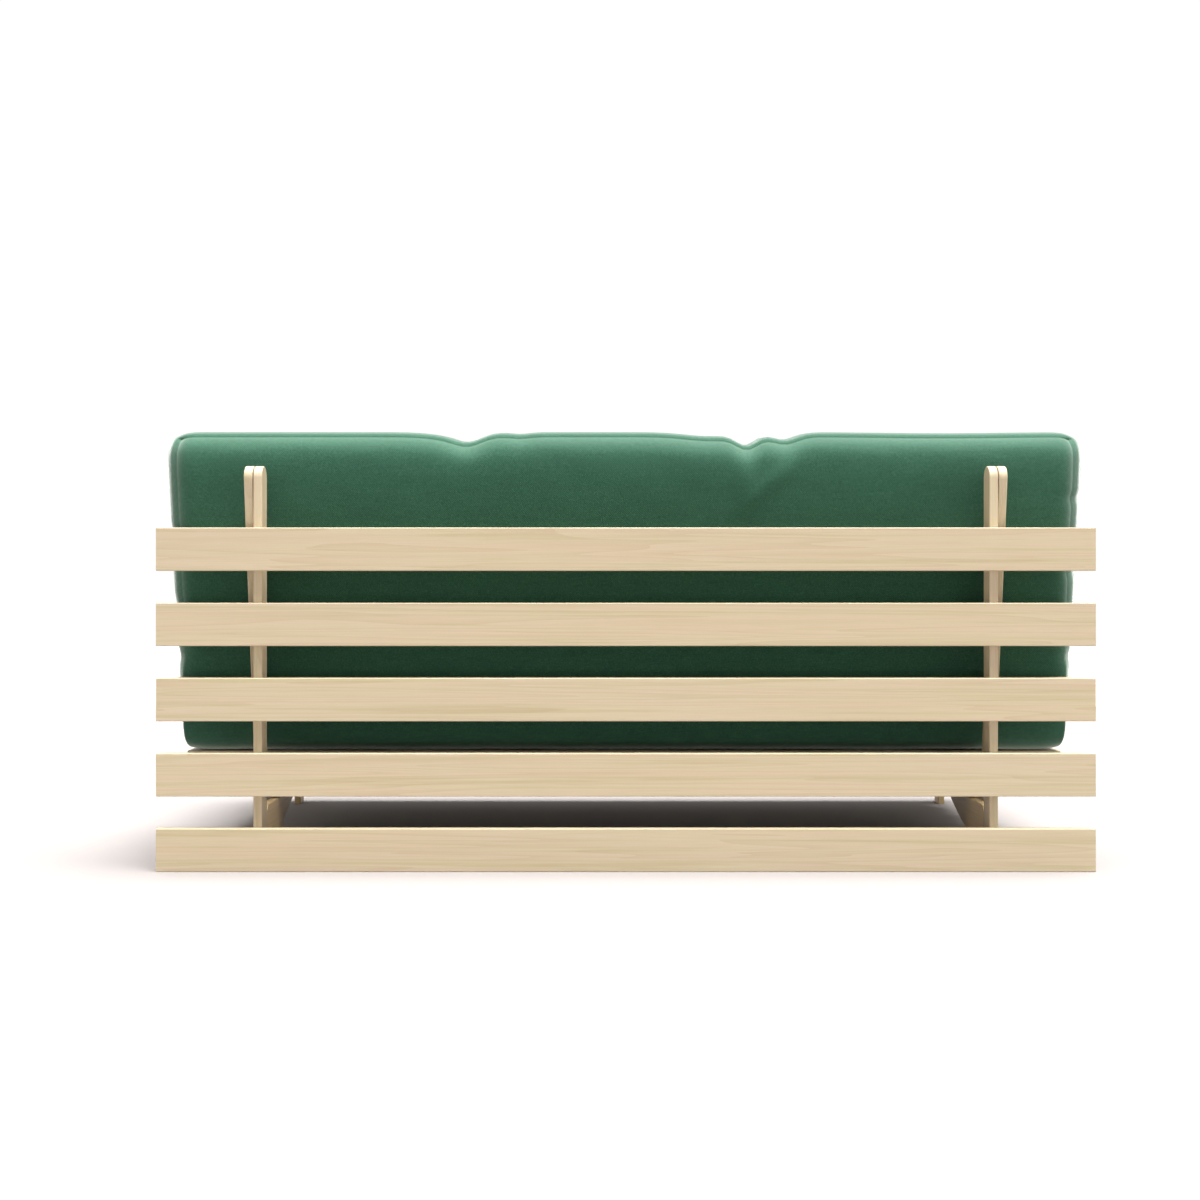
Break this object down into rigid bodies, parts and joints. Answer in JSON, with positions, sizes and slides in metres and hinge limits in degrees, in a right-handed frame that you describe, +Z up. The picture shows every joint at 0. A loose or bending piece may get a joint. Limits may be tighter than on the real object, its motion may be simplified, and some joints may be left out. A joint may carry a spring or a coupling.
{
  "type": "futon sofa bed",
  "caption": "Slatted pine sofa whose leaning back and upright rear frame unfold into a bed, with a folded futon mattress.",
  "frame": {"origin": "centre of the bounding box's bottom face, on the floor", "axes": "+X across the width, +Y towards the sofa's front, +Z up"},
  "size_m": [1.6, 0.911, 0.7697],
  "materials": {
    "pine": "clear lacquered, fine straight grain",
    "mattress_cover": "matt plain weave",
    "steel": "zinc plated",
    "beech_dowel": "raw",
    "nylon": "moulded"
  },
  "bodies": {
    "base": {"seat_rail_left": "pine", "seat_rail_right": "pine", "seat_slat_1": "pine", "seat_slat_2": "pine", "seat_slat_3": "pine", "seat_slat_4": "pine", "seat_slat_5": "pine", "seat_slat_6": "pine", "front_apron": "pine", "curved_leg_left": "pine", "curved_leg_right": "pine", "front_leg_left": "pine", "front_leg_right": "pine", "corner_block_left": "pine", "corner_block_right": "pine", "seat_slat_screws": "steel", "curved_leg_bolts": "steel", "front_leg_bolts": "steel", "apron_screws": "steel", "seat_pivot_pin_left": "steel", "seat_pivot_pin_right": "steel", "seat_pivot_nuts": "steel", "seat_pivot_washers": "nylon", "mattress_seat_lower": "mattress_cover", "mattress_seat_upper": "mattress_cover"},
    "back_frame": {"back_rail_left": "pine", "back_rail_right": "pine", "back_slat_1": "pine", "back_slat_2": "pine", "back_slat_3": "pine", "back_slat_4": "pine", "back_slat_screws": "steel", "top_pivot_pin_left": "steel", "top_pivot_pin_right": "steel", "top_pivot_nuts": "steel", "top_pivot_washers": "nylon", "mattress_back": "mattress_cover"},
    "rear_frame": {"rear_rail_left": "pine", "rear_rail_right": "pine", "rear_slat_1": "pine", "rear_slat_2": "pine", "rear_slat_3": "pine", "rear_slat_4": "pine", "rear_slat_5": "pine", "rear_foot_left": "pine", "rear_foot_right": "pine", "rear_slat_dowels": "beech_dowel", "rear_foot_dowels": "beech_dowel"}
  },
  "joints": [
    {"name": "back_fold", "type": "hinge", "parent": "base", "child": "back_frame", "pos_m": [0, -0.3335, 0.149], "axis": [1, 0, 0], "range_deg": [0, 80.91]},
    {"name": "rear_frame_fold", "type": "hinge", "parent": "back_frame", "child": "rear_frame", "pos_m": [0, -0.4175, 0.674], "axis": [-1, 0, 0], "range_deg": [0, 171]}
  ],
  "couplings": [
    {"joint": "rear_frame_fold", "follows": "back_fold", "ratio": 2.1123}
  ]
}
